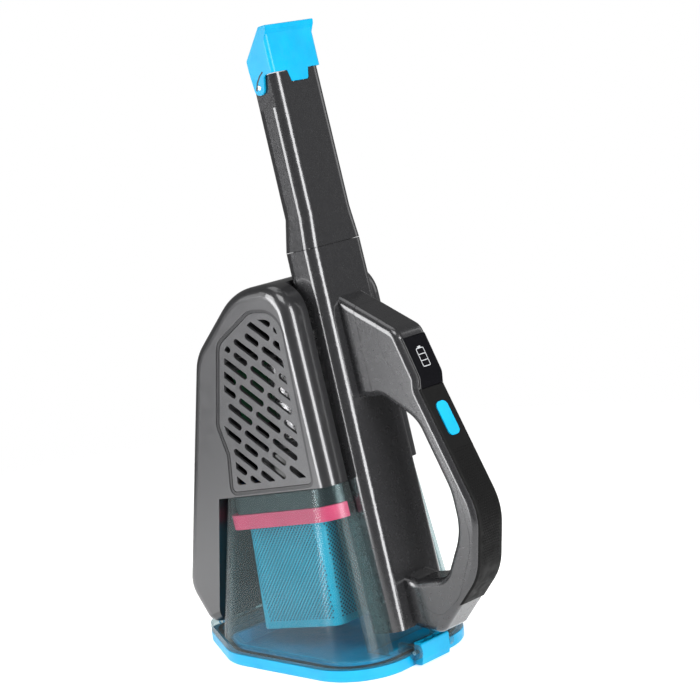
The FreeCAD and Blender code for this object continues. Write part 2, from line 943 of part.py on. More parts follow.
def tongue(name, grow, behind, ahead):
    """The tapered tab at the foot of the brush hood, or the notch for it when it is grown."""
    side, foot_side = size("tongue_side") + grow, size("tongue_foot_side") + grow
    foot, top = size("tongue_foot") - grow, size("nozzle_tip") + 2
    corners = [(-side, top, 0), (-foot_side, foot, 1.5), (foot_side, foot, 1.5), (side, top, 0)]
    tab = document.addObject("Part::Extrusion", name)
    facing_front = Rotation(Vector(0, 1, 0), Vector(0, 0, 1), Vector(1, 0, 0), "ZXY")
    start = Vector(size("tube_front") - behind, 0, 0)
    tab.Base = sketch_of(name + "Outline", corners, Placement(start, facing_front))
    tab.DirMode = "Custom"
    tab.Dir = Vector(1, 0, 0)
    tab.Solid = True
    tab.LengthFwd = behind + ahead
    return tab


def nozzle_outside():
    """The outside of the nozzle, flush with the tube at the seam and shallower further up."""
    seam, flare_top, tip = size("nozzle_seam"), size("nozzle_flare_top"), size("nozzle_tip")
    side = size("nozzle_side")
    body = loft("NozzleOuter", [
        tube_section(size("tube_top_side"), seam),
        tube_section(side + size("nozzle_flare_extra"), flare_top, 0, "nozzle_back"),
        tube_section(side, tip, 0, "nozzle_back"),
    ])
    return rounded("NozzleOuter", body, "tube_edge_round", upright)


def make_nozzle():
    sleeve = block(
        "Sleeve",
        ("tube_back + sleeve_inset", "tube_front - sleeve_inset"), ("-sleeve_side", "sleeve_side"),
        ("sleeve_foot", "nozzle_seam + 1"),
    )
    sleeve = rounded("Sleeve", sleeve, "sleeve_edge_round", upright)
    bore = block(
        "NozzleBore",
        ("tube_back + sleeve_inset + sleeve_wall", "tube_front - sleeve_inset - sleeve_wall"),
        ("-sleeve_side + sleeve_wall", "sleeve_side - sleeve_wall"),
        ("sleeve_foot - overshoot", "nozzle_tip + overshoot"),
    )
    recesses = [
        block(
            f"BrushRecess{number}", ("nozzle_back - overshoot", "nozzle_back + nozzle_recess_depth"), span,
            ("nozzle_recess_foot", "nozzle_tip + overshoot"),
        )
        for number, span in enumerate((("nozzle_recess_side", "40"), ("-40", "-nozzle_recess_side")))
    ]
    tongue_slot = tongue("TongueSlot", size("tongue_gap"), 6, 1)
    holes = cylinder(
        "BrushPinHole", "brush_pin_radius", "whole_width",
        (size("brush_pivot_x"), 0, size("brush_pivot_height")),
    )
    whole = fuse("NozzleWhole", nozzle_outside(), sleeve)
    keep("nozzle", cut("Nozzle", whole, bore, *recesses, tongue_slot, holes))


def brush_outline():
    """Side view of the hood, from the ears on the pivot pins up to the finger lip."""
    front, top = size("tube_front"), size("brush_top")
    return [
        (68, 399, 3),
        (68, 406, 1.5),
        (85.5, top, 2),
        (92, top, 0.8),
        (91.4, 422.4, 0),
        (front, 420, 0),
        (front, 394.4, 0),
        (80.4, 394.4, 3),
        (77, 381, 4.5),
        (69.5, 383, 4.5),
    ]


def brush_hood():
    """The hollow hood, with the front edges of its sides rounded."""
    outer = slab("BrushOuter", brush_outline(), "2 * (nozzle_side + brush_overhang)")
    beside = at_side(size("nozzle_side") + size("brush_overhang"))
    front = size("tube_front")
    outer = rounded(
        "BrushOuter", outer, "brush_edge_round",
        lambda edge: beside(edge) and edge.BoundBox.XMin > front - 1 and edge.BoundBox.ZLength > 10,
    )
    inner_side = "nozzle_recess_side + brush_overhang"
    room = block(
        "BrushRoom", ("0", "tube_front - brush_wall"), (f"-({inner_side})", inner_side), ("300", "500"),
    )
    return cut("BrushHood", outer, room)


def make_brush():
    pivot_x, pivot_height = size("brush_pivot_x"), size("brush_pivot_height")
    tab = tongue("BrushTongue", 0, size("brush_wall"), 0)
    hole = cylinder(
        "BrushHole", "brush_pin_radius + pin_clearance", "whole_width", (pivot_x, 0, pivot_height),
    )
    keep("brush_cover", cut("Brush", fuse("BrushWhole", brush_hood(), tab), hole))
    keep("brush_bristles", block(
        "Bristles", ("tube_front - 8", "tube_front - brush_wall"),
        ("-bristle_side", "bristle_side"), ("bristle_foot", "bristle_tip"),
    ))
    pins = [
        cylinder(f"BrushPin{number}", "brush_pin_radius", "brush_pin_length", (pivot_x, y, pivot_height))
        for number, y in enumerate((-size("brush_pin_side"), size("brush_pin_side")))
    ]
    keep("brush_pivot_pins", fuse("BrushPins", *pins))


# ---- motor housing --------------------------------------------------------------------


def housing_solid(name, inset, side):
    """One half of the housing as a full solid, drawn in by the inset."""
    corners = grown(housing_outline(), -inset)
    whole = slab(name, corners, f"2 * (housing_side - {inset})")
    radius = "housing_room_round" if inset else "housing_edge_round"
    whole = rounded(name, whole, radius, around_housing(size("housing_side") - inset))
    low, high = ("housing_split_gap", "100") if side > 0 else ("-100", "-housing_split_gap")
    return common(name, whole, block(name + "Half", ("-200", "200"), (low, high), ("0", "400")))


def socket_seat():
    """Where the charging socket comes out of the housing's sloping back, and the way it faces."""
    top, foot = (Vector(x, 0, z) for x, z, _ in housing_outline()[3:5])
    along = (foot - top).normalize()
    mouth = top + along * ((size("socket_height") - top.z) / along.z)
    return mouth, Vector(along.z, 0, -along.x)


def boss_places():
    """Where the screws join the two halves, in side view."""
    return [(10, 243), (-17, 208), (-36, 146), (-69, 42)]


def housing_shell(word, side):
    """One hollow half of the housing, open to the bowl and cut away for its fittings."""
    grille_hole = slab("GrilleHole" + word, grown(grille_outline(), size("soft_gap")), "whole_width")
    face = size("housing_side") - size("grille_border_depth")
    border = common(
        "GrilleBorder" + word,
        slab("GrilleBorderPlan" + word, grown(grille_outline(), size("grille_border")), "whole_width"),
        block(
            "GrilleBorderDepth" + word, ("-100", "100"),
            (str(face), "100") if side > 0 else ("-100", str(-face)), ("100", "300"),
        ),
    )
    mouth = block(
        "HousingMouth" + word, ("-26", "bowl_front - 3"), ("-40", "40"),
        ("bowl_top - overshoot", "bowl_top + overshoot"),
    )
    socket_mouth, outwards = socket_seat()
    socket_hole = cylinder(
        "SocketHole" + word, "socket_radius + socket_clearance", "4 * housing_wall", socket_mouth, outwards,
    )
    return cut(
        "HousingShell" + word, housing_solid("Housing" + word, 0, side),
        housing_solid("HousingRoom" + word, size("housing_wall"), side),
        grille_hole, border, tube_notch("HousingNotch" + word, "gap"), mouth, socket_hole,
    )


def rods(name, radius, length, y):
    """A rod across the housing at each screw."""
    return [
        cylinder(f"{name}{number}", radius, length, (x, y, z))
        for number, (x, z) in enumerate(boss_places())
    ]


def make_housing():
    length = size("housing_side") - 1
    for word, side in (("Left", -1), ("Right", 1)):
        middle = side * (length / 2 + size("boss_gap"))
        pillars = fuse("BossGroup" + word, *rods("Boss" + word, "boss_radius", str(length), middle))
        bosses = common("Bosses" + word, pillars, housing_solid("BossReach" + word, 0, side))
        bores = rods("Bore" + word, "screw_radius + bore_clearance", "bore_length", size("bore_middle"))
        heads = rods(
            "HeadRoom" + word, "screw_head_radius + head_room", "head_room_length",
            size("head_room_middle"),
        )
        whole = fuse("HousingWhole" + word, housing_shell(word, side), bosses)
        keep(f"motor_housing_{word.lower()}", cut("HousingDone" + word, whole, *bores, *heads))


def make_screws():
    shanks = rods("ScrewShank", "screw_radius", "screw_length", size("screw_middle"))
    heads = rods("ScrewHead", "screw_head_radius", "screw_head_height", size("screw_head_side"))
    keep("housing_screws", fuse("Screws", *shanks, *heads))


def slot_outline(middle_x, middle_y, length):
    """One pill-shaped slot at the slots' own angle, as four corners with round ends."""
    angle = math.radians(size("slot_angle"))
    along = Vector(math.cos(angle), math.sin(angle), 0)
    side = Vector(-along.y, along.x, 0) * (size("slot_width") / 2)
    reach = along * (length / 2)
    middle = Vector(middle_x, middle_y, 0)
    radius = size("slot_width") / 2 - 0.01
    corners = [middle - reach - side, middle + reach - side, middle + reach + side, middle - reach + side]
    return [(corner.x, corner.y, radius) for corner in corners]


def slot_places():
    """Rows of long and short slots by turns, each row shifted along from the last."""
    angle = math.radians(size("slot_angle"))
    along = Vector(math.cos(angle), math.sin(angle), 0)
    down = Vector(math.sin(angle), -math.cos(angle), 0)
    period = size("long_slot") + size("short_slot") + 2 * size("slot_gap")
    short_offset = (size("long_slot") + size("short_slot")) / 2 + size("slot_gap")
    middle = Vector(size("slot_start_x"), size("slot_start_height"), 0)
    rows, pairs = int(size("slot_rows_each_way")), int(size("slot_pairs_each_way"))
    for row in range(-rows, rows + 1):
        for number in range(-pairs, pairs + 1):
            shift = (row * size("slot_row_shift")) % period + number * period
            start = middle + down * (row * size("slot_row_pitch")) + along * shift
            yield start, size("long_slot")
            yield start + along * short_offset, size("short_slot")


def slot_cutters(word):
    """Every slot of one grille as a solid, with those at the edge cut off along the rim."""
    rim = grown(grille_outline(), -size("grille_rim"))
    window = Part.Face(Part.Wire(Part.__sortEdges__([edge.toShape() for edge in edges_of(rim)])))
    slots = document.addObject("Sketcher::SketchObject", "Slots" + word)
    for middle, length in slot_places():
        if window.distToShape(Part.Vertex(middle))[0] < length / 2 - size("slot_least_part"):
            slots.addGeometry(edges_of(slot_outline(middle.x, middle.y, length)), False)
    slots.Placement = side_view()
    cutters = document.addObject("Part::Extrusion", "SlotCutters" + word)
    cutters.Base = slots
    cutters.DirMode = "Custom"
    cutters.Dir = ACROSS
    cutters.Solid = True
    cutters.Symmetric = True
    bind(cutters, LengthFwd="whole_width")
    return common("Slots" + word, cutters, slab("GrilleWindow" + word, rim, "whole_width + overshoot"))


def make_grilles():
    outer_face = size("housing_side") - size("grille_recess")
    plate_low = outer_face - size("grille_thickness")
    for word, low, high in (("left", -outer_face, -plate_low), ("right", plate_low, outer_face)):
        depth = block("GrilleDepth" + word, ("-60", "100"), (str(low), str(high)), ("100", "260"))
        panel = common("Grille" + word, slab("GrillePanel" + word, grille_outline(), "whole_width"), depth)
        keep(f"vent_grille_{word}", cut("GrilleDone" + word, panel, slot_cutters(word)))


# ---- motor, fan and electrics ---------------------------------------------------------


def make_motor():
    motor = turned_body("Motor", [
        ("motor_radius", "0", "motor_length"),
        ("motor_radius * 0.45", "motor_length", "motor_neck_height"),
    ])
    keep("motor", cut(
        "MotorBored", place(motor, size("motor_x"), 0, size("motor_foot")),
        cylinder("ShaftRoom", "shaft_radius + 0.08", "whole_width", (size("motor_x"), 0, 180), UP),
    ))
    shaft = turned_body("Shaft", [("shaft_radius", "0", "shaft_length")])
    keep("motor_shaft", place(shaft, size("motor_x"), 0, size("fan_foot") - 1))


def make_fan():
    body = new_body("Fan")
    hub = body_sketch(body, "FanHubCircle", "XY_Plane")
    draw_circle(hub, "fan_hub_radius")
    pad(body, hub, "fan_height", "FanHub")
    disc = body_sketch(body, "FanDiscCircle", "XY_Plane")
    draw_circle(disc, "fan_radius")
    pad(body, disc, "fan_disc_height", "FanDisc")
    document.recompute()
    blade = body_sketch(body, "FanBladeOutline", "XY_Plane")
    inner, outer = size("fan_hub_radius") - 1, size("fan_radius") - 0.6
    blade.addGeometry(edges_of([
        (inner, -0.8, 0), (outer * 0.62, -5.2, 12), (outer * 0.94, -8.5, 0),
        (outer * 0.92, -7, 0), (outer * 0.62, -3.6, 12), (inner, 0.8, 0),
    ]), False)
    first = pad(body, blade, "fan_height", "FanBlade")
    ring = body.newObject("PartDesign::PolarPattern", "FanBlades")
    ring.Originals = [first]
    ring.Axis = (hub, ["N_Axis"])
    ring.Angle = 360
    ring.Occurrences = int(size("fan_blades"))
    body.Tip = ring
    place(body, size("motor_x"), 0, size("fan_foot"))
    bore = cylinder("FanBore", "shaft_radius", "60", (size("motor_x"), 0, size("fan_foot")), UP)
    keep("fan", cut("FanBored", body, bore))


def make_shroud():
    x = size("motor_x")
    foot, height = size("shroud_foot"), size("shroud_height")
    middle = foot + height / 2
    outer = cylinder("ShroudOuter", "shroud_radius", "shroud_height", (x, 0, middle), UP)
    room = cylinder(
        "ShroudRoom", "fan_radius + fan_gap", "shroud_height - 2 * shroud_wall", (x, 0, middle), UP,
    )
    eye = cylinder("ShroudEye", "fan_radius * 0.55", "shroud_height", (x, 0, foot), UP)
    outlet = block(
        "ShroudOutlet", ("-40", "motor_x - 15"), ("-shroud_outlet_side", "shroud_outlet_side"),
        ("fan_foot + fan_disc_height", "fan_foot + fan_height"),
    )
    hole = cylinder("ShroudHole", "shaft_radius + fan_gap", "20", (x, 0, foot + height), UP)
    keep("fan_shroud", cut("Shroud", outer, room, eye, outlet, hole))


def make_mount():
    x, height = size("motor_x"), size("motor_foot") - size("mount_drop")
    disc = cylinder("MountDisc", "motor_radius + mount_rim", "mount_thickness", (x, 0, height), UP)
    hole = cylinder("MountHole", "shaft_radius + fan_gap", "20", (x, 0, height), UP)
    keep("motor_mount", cut("Mount", disc, hole))


def make_battery():
    tilt = Rotation(ACROSS, size("cell_tilt"))
    middle = Vector(size("cell_x"), 0, size("cell_height"))
    foot = middle - tilt.multVec(UP) * (size("cell_length") / 2)
    count = int(size("cell_count"))
    for number in range(count):
        cell = turned_body(f"Cell{number}", [
            ("cell_radius", "0", "cell_length - cell_cap_height"),
            ("cell_radius * 0.35", "cell_length - cell_cap_height", "cell_cap_height"),
        ])
        cell.Placement = Placement(foot + ACROSS * (number - 1) * size("cell_pitch"), tilt)
        keep(f"battery_cell_{number + 1}", cell)
    tray = block(
        "Tray", ("-cell_radius - tray_floor", "-1"),
        ("-cell_count / 2 * cell_pitch - tray_end", "cell_count / 2 * cell_pitch + tray_end"),
        ("tray_margin", "cell_length - tray_margin"),
    )
    rooms = [
        cylinder(
            f"TrayRoom{number}", "cell_radius + tray_clearance", "whole_width",
            (0, (number - 1) * size("cell_pitch"), 0), UP,
        )
        for number in range(count)
    ]
    holder = cut("Holder", tray, *rooms)
    holder.Placement = Placement(foot, tilt)
    keep("battery_holder", holder)


def make_electrics():
    keep("control_board", block(
        "Board", ("board_x", "board_x + board_thickness"), ("-board_side", "board_side"),
        ("board_foot", "board_top"),
    ))
    socket = turned_body("Socket", [
        ("socket_radius", "0", "socket_length"),
        ("socket_tip_radius", "socket_length", "socket_tip_length"),
    ])
    mouth, outwards = socket_seat()
    depth = size("socket_length") + size("socket_tip_length") + size("socket_recess")
    keep("charging_socket", place(socket, *(mouth - outwards * depth), outwards))


# ---- handle ---------------------------------------------------------------------------


def grip_line():
    """Start and end of the straight stretch of the handle that holds the power button."""
    return Vector(142, 0, 171), Vector(168, 0, 86)


def button_frame():
    """Placement on the handle's outer face at the button: z points out, x runs along it."""
    top, foot = grip_line()
    along = (foot - top).normalize()
    run = (size("button_height") - top.z) / along.z
    out = Vector(-along.z, 0, along.x)
    if out.x < 0:
        out = -out
    middle = top + along * run
    turn = Rotation(along, ACROSS, out, "ZYX")
    return Placement(middle, turn)


def button_solid(name, grow, low, high):
    """A rounded block in the button's own frame, between two depths."""
    length = size("button_length") / 2 + grow
    width = size("button_width") / 2 + grow
    radius = size("button_round") + grow
    corners = mirrored([(length, width, radius), (-length, width, radius)])
    solid = plate(name, corners, low, str(high - low))
    solid.Placement = button_frame()
    return solid


def grip_band(name, inner_inset, outer_inset, width, low, high):
    """A strip along the handle's outer face between two depths and two heights."""
    outer = slab(name + "Band", grown(handle_outline(), -outer_inset), width)
    if outer_inset == 0:
        outer = rounded(name + "Band", outer, "grip_edge_round", at_side(size("grip_side")))
    inner = slab(name + "Core", grown(handle_outline(), -inner_inset), "whole_width")
    reach = block(name + "Reach", ("tube_front + grip_reach", "200"), ("-60", "60"), (str(low), str(high)))
    return common(name, cut(name, outer, inner), reach)


def make_handle_shells():
    inner = slab("InnerShell", inner_shell_outline(), "whole_width")
    keep("handle_inner_shell", common("InnerShell", handle_bar("Inner"), inner))
    core = slab("OuterShellCore", grown(inner_shell_outline(), size("shell_seam")), "whole_width")
    grip_room = grip_band(
        "GripRoom", size("grip_thickness") + size("grip_room_extra"), -size("overshoot"),
        "2 * (grip_side + grip_room_extra)", size("grip_room_foot"), size("grip_room_top"),
    )
    keep("handle_outer_shell", cut(
        "OuterShell", handle_bar("Outer"), core,
        block("OuterShellBack", ("0", "collar_front + soft_gap"), ("-60", "60"), ("-10", "300")),
        grip_room, button_room("ButtonRoom", size("button_room_gap")),
    ))


def button_room(name, gap):
    """The room for the button and its switch, wider than the button by the gap."""
    return button_solid(name, gap, -size("button_room_depth"), size("button_room_top"))


def make_grip():
    thickness = size("grip_thickness")
    grip = grip_band("Grip", thickness, 0, "2 * grip_side", size("grip_foot"), size("grip_top"))
    keep("grip_overmold", cut("GripDone", grip, button_room("GripButtonRoom", size("soft_gap"))))
    window = grip_band("Gauge", thickness, 0, "2 * grip_side", size("gauge_foot"), size("gauge_top"))
    keep("gauge_window", window)


def make_button():
    depth = size("button_depth")
    keep("power_button", button_solid("Button", 0, -depth, size("button_proud")))
    switch_top = -depth - size("button_travel") - size("boss_gap")
    switch = button_solid("Switch", -size("switch_inset"), -size("switch_foot"), switch_top)
    keep("button_switch", switch)


# ---- whole object ---------------------------------------------------------------------

make_door()
make_door_seal()
make_hinge_pin()
make_latch()
make_latch_pin()
make_bowl()
make_inlet_flap()
make_filter()
make_tube()
make_nozzle()
make_brush()
make_housing()
make_screws()
make_grilles()
make_motor()
make_fan()
make_shroud()
make_mount()
make_battery()
make_electrics()
make_handle_shells()
make_grip()
make_button()
document.recompute()

for item in document.Objects:
    if "Invalid" in item.State or "Error" in item.State:
        raise RuntimeError(f"{item.Name} failed: {item.State}")
os.makedirs("parts", exist_ok=True)
for name, thing in nodes.items():
    shape = thing.Shape
    if shape.isNull() or not shape.isValid():
        raise RuntimeError(f"{name} has no sound shape")
    shape.exportStep(f"parts/{name}.step")
    box = shape.BoundBox
    print(
        f"{name:24s} solids {len(shape.Solids)}  volume {shape.Volume / 1000:8.2f} cm3  "
        f"x {box.XMin:7.1f} {box.XMax:7.1f}  y {box.YMin:6.1f} {box.YMax:6.1f}  "
        f"z {box.ZMin:6.1f} {box.ZMax:6.1f}"
    )
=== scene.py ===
import json
import math

import bmesh
import bpy
from mathutils import Matrix, Vector


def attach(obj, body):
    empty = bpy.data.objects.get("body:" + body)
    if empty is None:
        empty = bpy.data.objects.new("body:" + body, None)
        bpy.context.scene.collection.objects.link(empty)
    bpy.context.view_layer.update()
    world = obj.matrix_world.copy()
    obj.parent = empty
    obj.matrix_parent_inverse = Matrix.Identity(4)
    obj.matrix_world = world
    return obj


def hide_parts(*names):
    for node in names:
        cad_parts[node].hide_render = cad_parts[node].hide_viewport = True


# The looks of a cordless handheld vacuum around its CAD frame. Blender's lengths are in
# metres. The pieces are laid out in millimetres in the leaned frame of the suction tube:
# across it (away from the motor), to the side, and along it from the door to the nozzle.

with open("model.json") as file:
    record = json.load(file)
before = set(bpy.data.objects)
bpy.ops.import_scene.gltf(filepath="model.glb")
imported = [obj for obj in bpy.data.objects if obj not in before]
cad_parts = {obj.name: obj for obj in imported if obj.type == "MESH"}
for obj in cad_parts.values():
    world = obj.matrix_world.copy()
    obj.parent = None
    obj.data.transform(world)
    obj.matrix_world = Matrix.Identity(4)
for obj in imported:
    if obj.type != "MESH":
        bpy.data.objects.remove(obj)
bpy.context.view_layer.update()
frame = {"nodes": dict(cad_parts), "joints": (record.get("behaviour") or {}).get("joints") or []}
NODES = frame["nodes"]
JOINTS = {joint["name"]: joint for joint in frame["joints"]}
ALONG = Vector(JOINTS["nozzle_extend"]["axis"]).normalized()
ACROSS = Vector((ALONG.z, 0, -ALONG.x))
SIDE = Vector((0, 1, 0))
MM = 0.001


def leaned(across, side, along):
    """A point of the leaned frame, given in millimetres, in the row frame."""
    return (ACROSS * across + SIDE * side + ALONG * along) * MM


# ---- materials ------------------------------------------------------------------------

# A Mix node's sockets for colours share their names with those for numbers.
MIX_COLOUR_A, MIX_COLOUR_B, MIX_COLOUR_RESULT = 6, 7, 2

# The part of a noise texture's range that each look is made from.
CLOUD_RANGE = (0.35, 0.65)
FLAKE_RANGE = (0.42, 0.72)
GLOSS_RANGE = (0.3, 0.7)


def shader_of(material):
    """The material's Principled shader node."""
    return material.node_tree.nodes["Principled BSDF"]


def new_material(name, colour, roughness, **sockets):
    """A Principled material, with constants set on the shader's own sockets."""
    material = bpy.data.materials.new(name)
    material.use_nodes = True
    inputs = shader_of(material).inputs
    inputs["Base Color"].default_value = (*colour, 1)
    inputs["Roughness"].default_value = roughness
    for socket, value in sockets.items():
        inputs[socket.replace("_", " ")].default_value = value
    return material


def add_node(owner, kind, **inputs):
    """A node of a material or world. Each input is a constant or another node's output."""
    node = owner.node_tree.nodes.new(kind)
    for name, value in inputs.items():
        socket = node.inputs[name.replace("_", " ")]
        if isinstance(value, bpy.types.NodeSocket):
            owner.node_tree.links.new(value, socket)
        else:
            socket.default_value = value
    return node


def drive_shader(material, socket, output):
    """Leads a node's output to one of the shader's sockets."""
    material.node_tree.links.new(output, shader_of(material).inputs[socket])


def mix_surface(material, share, first, second):
    """The surface goes from one shader to another as share goes from 0 to 1."""
    mix = add_node(material, "ShaderNodeMixShader")
    links = material.node_tree.links
    for output, socket in zip((share, first, second), mix.inputs):
        links.new(output, socket)
    links.new(mix.outputs[0], material.node_tree.nodes["Material Output"].inputs["Surface"])


def object_point(material):
    """The surface point in the row frame, which moves with the piece."""
    return add_node(material, "ShaderNodeTexCoord").outputs["Object"]


def noise(material, scale, detail=2.0):
    """Cloudy noise through the piece. A higher scale gives smaller clouds."""
    point = object_point(material)
    node = add_node(material, "ShaderNodeTexNoise", Vector=point, Scale=scale, Detail=detail)
    return node.outputs["Fac"]


def spread(owner, value, low, high, to_low=0, to_high=1):
    """A value moved from one range to another, and kept inside it."""
    node = add_node(owner, "ShaderNodeMapRange", Value=value)
    node.inputs["From Min"].default_value = low
    node.inputs["From Max"].default_value = high
    node.inputs["To Min"].default_value = to_low
    node.inputs["To Max"].default_value = to_high
    return node.outputs["Result"]


def vary_colour(material, factor, low, high):
    """Base colour between two colours by a factor."""
    mix = add_node(material, "ShaderNodeMix", Factor=factor)
    mix.data_type = "RGBA"
    mix.inputs[MIX_COLOUR_A].default_value = (*low, 1)
    mix.inputs[MIX_COLOUR_B].default_value = (*high, 1)
    drive_shader(material, "Base Color", mix.outputs[MIX_COLOUR_RESULT])


def vary_roughness(material, scale, low, high):
    """Uneven gloss: roughness between two values, by noise of the given scale."""
    value = spread(material, noise(material, scale), *GLOSS_RANGE, low, high)
    drive_shader(material, "Roughness", value)


def add_grain(material, scale, depth):
    """Fine grain as a bump, with its depth in metres."""
    height = noise(material, scale)
    bump = add_node(material, "ShaderNodeBump", Height=height, Strength=1.0, Distance=depth)
    drive_shader(material, "Normal", bump.outputs["Normal"])


def scaled(colour, share):
    """The colour with each of its channels multiplied by share."""
    return tuple(channel * share for channel in colour)


def moulded(name, colour, roughness, grain, **sockets):
    """Plastic, rubber or cloth: cloudy colour, uneven gloss and grain as (scale, depth)."""
    material = new_material(name, colour, roughness, **sockets)
    cloud = spread(material, noise(material, scale=45, detail=3), *CLOUD_RANGE)
    vary_colour(material, cloud, scaled(colour, 0.92), scaled(colour, 1.06))
    vary_roughness(material, scale=160, low=roughness * 0.8, high=roughness * 1.25)
    add_grain(material, *grain)
    return material


def coated_metal(name, colour, roughness):
    """Glossy metallic paint of one colour under a clear coat."""
    material = new_material(
        name, colour, roughness, Metallic=0.55, Coat_Weight=0.7, Coat_Roughness=0.1,
    )
    vary_roughness(material, scale=220, low=roughness * 0.9, high=roughness * 1.1)
    return material


def metallic_paint(name, colour, flake_share, roughness):
    """Metallic paint with fine flakes, as bright as the colour times flake_share."""
    material = coated_metal(name, colour, roughness)
    flakes = spread(material, noise(material, scale=2600, detail=1), *FLAKE_RANGE)
    vary_colour(material, flakes, scaled(colour, 0.92), scaled(colour, flake_share))
    return material


def side_sheen_paint(name, edge_colour, sheen_colour, side_start, roughness):
    """Metallic paint with a painted reflection: the lighter side colour from side_start outwards from
    Y = 0, or else edge_colour.
    """
    material = coated_metal(name, sheen_colour, roughness)
    side = add_node(material, "ShaderNodeSeparateXYZ", Vector=object_point(material))
    distance = add_node(material, "ShaderNodeMath", Value=side.outputs["Y"])
    distance.operation = "ABSOLUTE"
    blend = 0.1 * MM
    flat = spread(material, distance.outputs[0], side_start - blend, side_start + blend)
    vary_colour(material, flat, edge_colour, sheen_colour)
    return material


def clear_plastic(name, tint, roughness, face_share, edge_share):
    """Thin tinted clear plastic: light goes straight through, and gloss lies on top.

    The gloss takes face_share of the surface seen face on, and edge_share seen edge on.
    """
    material = new_material(name, scaled(tint, 0.12), roughness, Specular_IOR_Level=0.7)
    through = add_node(material, "ShaderNodeBsdfTransparent", Color=(*tint, 1))
    facing = add_node(material, "ShaderNodeLayerWeight", Blend=0.28).outputs["Facing"]
    share = spread(material, facing, 0, 1, face_share, edge_share)
    mix_surface(material, share, through.outputs[0], shader_of(material).outputs[0])
    vary_roughness(material, scale=60, low=roughness * 0.7, high=roughness * 1.3)
    return material


def bare_steel(name, colour):
    """Bare metal with uneven gloss and fine grain."""
    material = new_material(name, colour, 0.3, Metallic=1.0)
    vary_roughness(material, scale=700, low=0.2, high=0.4)
    add_grain(material, scale=900, depth=0.00002)
    return material


BODY_GREY = (0.032, 0.032, 0.034)
# A lighter copy of the body grey: a painted reflection of the side lights on the housing's flat sides
# and on the vent grilles.
SHEEN_GREY = (0.072, 0.072, 0.075)
CYAN = (0.0, 0.30, 0.53)
BUTTON_CYAN = (0.0, 0.33, 0.56)
# The housing's flat sides lie further from Y = 0 than this, and its rounded edges nearer. The flat
# sides get a lighter grey as a painted reflection of the side lights, and the rounded edges keep the
# darker body grey.
HOUSING_SIDE = 47.7 * MM
# The scale of smooth plastic's grain, and its depth in metres.
FINE_GRAIN = (900, 0.000004)

paint = metallic_paint("body_paint", BODY_GREY, 1.5, 0.26)
side_paint = side_sheen_paint("housing_paint", BODY_GREY, SHEEN_GREY, HOUSING_SIDE, 0.32)
# The vent grilles take the lighter grey too, as a painted reflection of the side lights.
grille_paint = metallic_paint("grille_paint", SHEEN_GREY, 1.35, 0.34)
blue = moulded("accent_blue", CYAN, 0.36, FINE_GRAIN, Specular_IOR_Level=0.35)
button_blue = moulded("button_blue", BUTTON_CYAN, 0.36, FINE_GRAIN, Specular_IOR_Level=0.35)
smoke = clear_plastic("bowl_clear", (0.86, 0.965, 0.975), 0.16, face_share=0.06, edge_share=0.7)
soft_black = moulded(
    "soft_black", (0.004, 0.004, 0.004), 0.55, (1600, 0.00001), Specular_IOR_Level=0.12,
)
gloss_black = moulded(
    "gauge_black", (0.002, 0.002, 0.003), 0.1, (300, 0.000002), Specular_IOR_Level=0.4,
)
pink = moulded("seal_pink", (1.0, 0.06, 0.16), 0.4, (800, 0.000004))
rubber = moulded("seal_black", (0.014, 0.014, 0.015), 0.55, (1200, 0.00003))
dark_frame = moulded("frame_dark", (0.008, 0.008, 0.010), 0.35, FINE_GRAIN)
screen_teal = moulded("screen_teal", (0.0, 0.38, 0.55), 0.42, FINE_GRAIN)
# Painted shade for the holes in the filter screen: a dark colour where the holes would show shade.
hole_shade = moulded("screen_hole", (0.0, 0.02, 0.035), 0.7, FINE_GRAIN)
filter_cloth = moulded("filter_cloth", (0.72, 0.78, 0.82), 0.85, (1400, 0.00008))
steel = bare_steel("steel", (0.6, 0.6, 0.6))
motor_steel = bare_steel("motor_steel", (0.42, 0.42, 0.43))
fan_white = moulded("fan_plastic", (0.6, 0.6, 0.58), 0.45, (700, 0.00003))
cell_wrap = moulded("cell_wrap", (0.03, 0.12, 0.38), 0.25, (500, 0.00001))
board_green = moulded("board_green", (0.01, 0.14, 0.05), 0.35, (2000, 0.00003))
switch_black = moulded("switch_black", (0.02, 0.02, 0.02), 0.5, (1000, 0.00002))
bristle_fibre = moulded("bristle_fibre", (0.025, 0.025, 0.03), 0.55, (2500, 0.00002))
icon_grey = moulded("icon_grey", (0.42, 0.43, 0.44), 0.4, (900, 0.000005))


def dress(material, *names):
    """Gives CAD nodes one material."""
    for name in names:
        node = NODES[name]
        node.data.materials.clear()
        node.data.materials.append(material)


dress(paint, "suction_tube", "nozzle", "handle_inner_shell", "handle_outer_shell")
dress(side_paint, "motor_housing_left", "motor_housing_right")
dress(grille_paint, "vent_grille_left", "vent_grille_right")
dress(blue, "door", "door_latch", "brush_cover")
dress(button_blue, "power_button")
dress(smoke, "dust_bowl")
dress(soft_black, "grip_overmold")
dress(gloss_black, "gauge_window")
dress(pink, "filter_ring_seal")
dress(rubber, "door_seal", "inlet_flap")
dress(dark_frame, "filter_frame", "fan_shroud", "motor_mount", "battery_holder")
dress(screen_teal, "filter_screen")
dress(steel, "door_hinge_pin", "latch_pin", "housing_screws", "motor_shaft", "brush_pivot_pins")
dress(motor_steel, "motor")
dress(fan_white, "fan")
dress(cell_wrap, "battery_cell_1", "battery_cell_2", "battery_cell_3")
dress(board_green, "control_board")
dress(switch_black, "button_switch", "charging_socket")


# ---- pieces ---------------------------------------------------------------------------


def finish_piece(name, mesh, material, body, smooth=True):
    """Makes an object of a bmesh, and has it ride on a body."""
    data = bpy.data.meshes.new(name)
    mesh.to_mesh(data)
    mesh.free()
    data.materials.append(material)
    for face in data.polygons:
        face.use_smooth = smooth
    piece = bpy.data.objects.new(name, data)
    bpy.context.scene.collection.objects.link(piece)
    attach(piece, body)
    return piece


def surface_hit(node, start, direction):
    """Where a ray first meets a CAD node, and the surface's normal there."""
    hit, place, normal, _ = NODES[node].ray_cast(start, direction)
    return (place, normal) if hit else (None, None)


